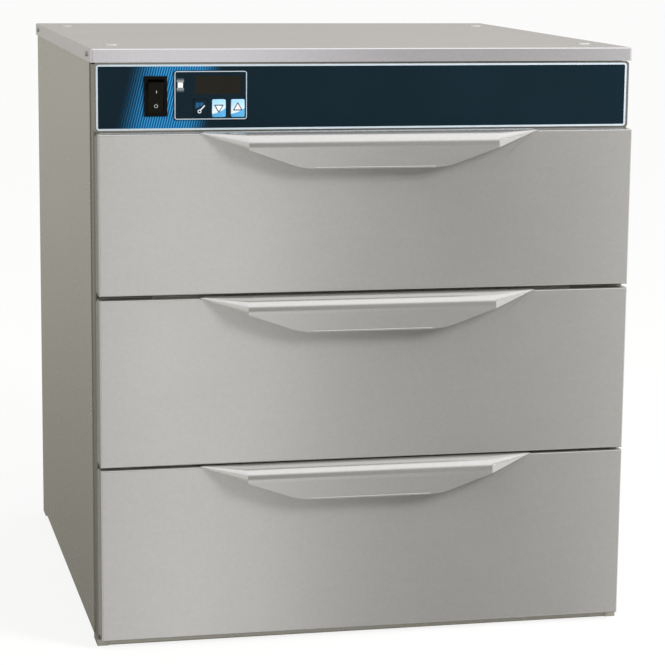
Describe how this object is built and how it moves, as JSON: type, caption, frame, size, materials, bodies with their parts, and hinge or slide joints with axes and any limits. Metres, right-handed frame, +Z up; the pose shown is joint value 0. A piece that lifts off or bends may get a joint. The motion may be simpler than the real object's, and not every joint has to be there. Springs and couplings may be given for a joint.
{
  "type": "warming drawer cabinet",
  "caption": "Free-standing stainless warming cabinet with sliding drawers, formed pulls, lift-out pans and a control panel above.",
  "frame": {"origin": "centre of the whole object's footprint, on the surface it stands on", "axes": "+X to the right, +Y from the drawers' faces to the back, +Z up"},
  "size_m": [0.6272, 0.6836, 0.6768],
  "materials": {
    "brushed_stainless": "satin stainless sheet, brushed",
    "plated_steel": "zinc-plated sheet",
    "cavity_steel": "plain stainless sheet",
    "grey_plastic": "moulded nylon, grey",
    "black_plastic": "moulded plastic, black",
    "nylon": "moulded nylon, natural",
    "printed_overlay": "printed polyester, dark blue-grey",
    "display_plastic": "smoked acrylic",
    "lens_plastic": "diffusing lens",
    "key_plastic": "moulded keys, light grey",
    "silicone_cable": "silicone-covered heating cable",
    "mineral_wool": "insulation batt",
    "probe_steel": "plain steel"
  },
  "bodies": {
    "cabinet": {"top_cover": "brushed_stainless", "right_side_panel": "brushed_stainless", "left_side_panel": "brushed_stainless", "front_kick_rail": "brushed_stainless", "right_front_post": "brushed_stainless", "left_front_post": "brushed_stainless", "bottom_frame_rail": "brushed_stainless", "lower_divider_rail": "brushed_stainless", "upper_divider_rail": "brushed_stainless", "top_frame_rail": "brushed_stainless", "control_fascia": "brushed_stainless", "corner_feet": "brushed_stainless", "back_panel": "plated_steel", "base_pan": "plated_steel", "leg_nuts": "plated_steel", "component_tray": "plated_steel", "slide_channels": "plated_steel", "casing_screws": "plated_steel", "cavity_wrap": "cavity_steel", "cavity_floor": "cavity_steel", "cavity_back": "cavity_steel", "cover_plugs": "grey_plastic", "cord_gland": "black_plastic", "switch_body": "black_plastic", "controller_case": "black_plastic", "terminal_block": "black_plastic", "fascia_overlay": "printed_overlay", "display_window": "display_plastic", "indicator_lens": "lens_plastic", "heating_cable": "silicone_cable", "insulation_pads": "mineral_wool", "air_sensor": "probe_steel"},
    "upper_drawer": {"upper_drawer_front": "brushed_stainless", "upper_drawer_inner_skin": "brushed_stainless", "upper_drawer_handle": "brushed_stainless", "upper_drawer_frame": "plated_steel", "upper_drawer_pan": "brushed_stainless"},
    "upper_vent": {"upper_vent_slide": "brushed_stainless"},
    "upper_rear_roller_pair": {"upper_rear_rollers": "nylon"},
    "upper_front_roller_pair": {"upper_front_rollers": "nylon"},
    "middle_drawer": {"middle_drawer_front": "brushed_stainless", "middle_drawer_inner_skin": "brushed_stainless", "middle_drawer_handle": "brushed_stainless", "middle_drawer_frame": "plated_steel", "middle_drawer_pan": "brushed_stainless"},
    "middle_vent": {"middle_vent_slide": "brushed_stainless"},
    "middle_rear_roller_pair": {"middle_rear_rollers": "nylon"},
    "middle_front_roller_pair": {"middle_front_rollers": "nylon"},
    "lower_drawer": {"lower_drawer_front": "brushed_stainless", "lower_drawer_inner_skin": "brushed_stainless", "lower_drawer_handle": "brushed_stainless", "lower_drawer_frame": "plated_steel", "lower_drawer_pan": "brushed_stainless"},
    "lower_vent": {"lower_vent_slide": "brushed_stainless"},
    "lower_rear_roller_pair": {"lower_rear_rollers": "nylon"},
    "lower_front_roller_pair": {"lower_front_rollers": "nylon"},
    "rocker": {"power_rocker": "black_plastic"},
    "set_button": {"set_key": "key_plastic"},
    "down_button": {"down_key": "key_plastic"},
    "up_button": {"up_key": "key_plastic"}
  },
  "joints": [
    {"name": "upper_drawer_pull", "type": "slide", "parent": "cabinet", "child": "upper_drawer", "axis": [0, -1, 0], "range_m": [0, 0.45]},
    {"name": "upper_vent_move", "type": "slide", "parent": "upper_drawer", "child": "upper_vent", "axis": [1, 0, 0], "range_m": [0, 0.009]},
    {"name": "upper_rear_roller_spin", "type": "hinge", "parent": "upper_drawer", "child": "upper_rear_roller_pair", "pos_m": [0, 0.268, 0.539], "axis": [1, 0, 0], "continuous": true},
    {"name": "upper_front_roller_spin", "type": "hinge", "parent": "cabinet", "child": "upper_front_roller_pair", "pos_m": [0, -0.282, 0.53915], "axis": [1, 0, 0], "continuous": true},
    {"name": "middle_drawer_pull", "type": "slide", "parent": "cabinet", "child": "middle_drawer", "axis": [0, -1, 0], "range_m": [0, 0.45]},
    {"name": "middle_vent_move", "type": "slide", "parent": "middle_drawer", "child": "middle_vent", "axis": [1, 0, 0], "range_m": [0, 0.009]},
    {"name": "middle_rear_roller_spin", "type": "hinge", "parent": "middle_drawer", "child": "middle_rear_roller_pair", "pos_m": [0, 0.268, 0.3555], "axis": [1, 0, 0], "continuous": true},
    {"name": "middle_front_roller_spin", "type": "hinge", "parent": "cabinet", "child": "middle_front_roller_pair", "pos_m": [0, -0.282, 0.35565], "axis": [1, 0, 0], "continuous": true},
    {"name": "lower_drawer_pull", "type": "slide", "parent": "cabinet", "child": "lower_drawer", "axis": [0, -1, 0], "range_m": [0, 0.45]},
    {"name": "lower_vent_move", "type": "slide", "parent": "lower_drawer", "child": "lower_vent", "axis": [1, 0, 0], "range_m": [0, 0.009]},
    {"name": "lower_rear_roller_spin", "type": "hinge", "parent": "lower_drawer", "child": "lower_rear_roller_pair", "pos_m": [0, 0.268, 0.163], "axis": [1, 0, 0], "continuous": true},
    {"name": "lower_front_roller_spin", "type": "hinge", "parent": "cabinet", "child": "lower_front_roller_pair", "pos_m": [0, -0.282, 0.16315], "axis": [1, 0, 0], "continuous": true},
    {"name": "power_switch", "type": "hinge", "parent": "cabinet", "child": "rocker", "pos_m": [-0.24, -0.2926, 0.624], "axis": [1, 0, 0], "range_deg": [-16, 0]},
    {"name": "set_press", "type": "slide", "parent": "cabinet", "child": "set_button", "axis": [0, 1, 0], "range_m": [0, 0.0006], "stiffness_N_per_m": 400},
    {"name": "down_press", "type": "slide", "parent": "cabinet", "child": "down_button", "axis": [0, 1, 0], "range_m": [0, 0.0006], "stiffness_N_per_m": 400},
    {"name": "up_press", "type": "slide", "parent": "cabinet", "child": "up_button", "axis": [0, 1, 0], "range_m": [0, 0.0006], "stiffness_N_per_m": 400}
  ],
  "couplings": [
    {"joint": "upper_rear_roller_spin", "follows": "upper_drawer_pull", "rad_per_m": 80},
    {"joint": "upper_front_roller_spin", "follows": "upper_drawer_pull", "rad_per_m": 80},
    {"joint": "middle_rear_roller_spin", "follows": "middle_drawer_pull", "rad_per_m": 80},
    {"joint": "middle_front_roller_spin", "follows": "middle_drawer_pull", "rad_per_m": 80},
    {"joint": "lower_rear_roller_spin", "follows": "lower_drawer_pull", "rad_per_m": 80},
    {"joint": "lower_front_roller_spin", "follows": "lower_drawer_pull", "rad_per_m": 80}
  ]
}
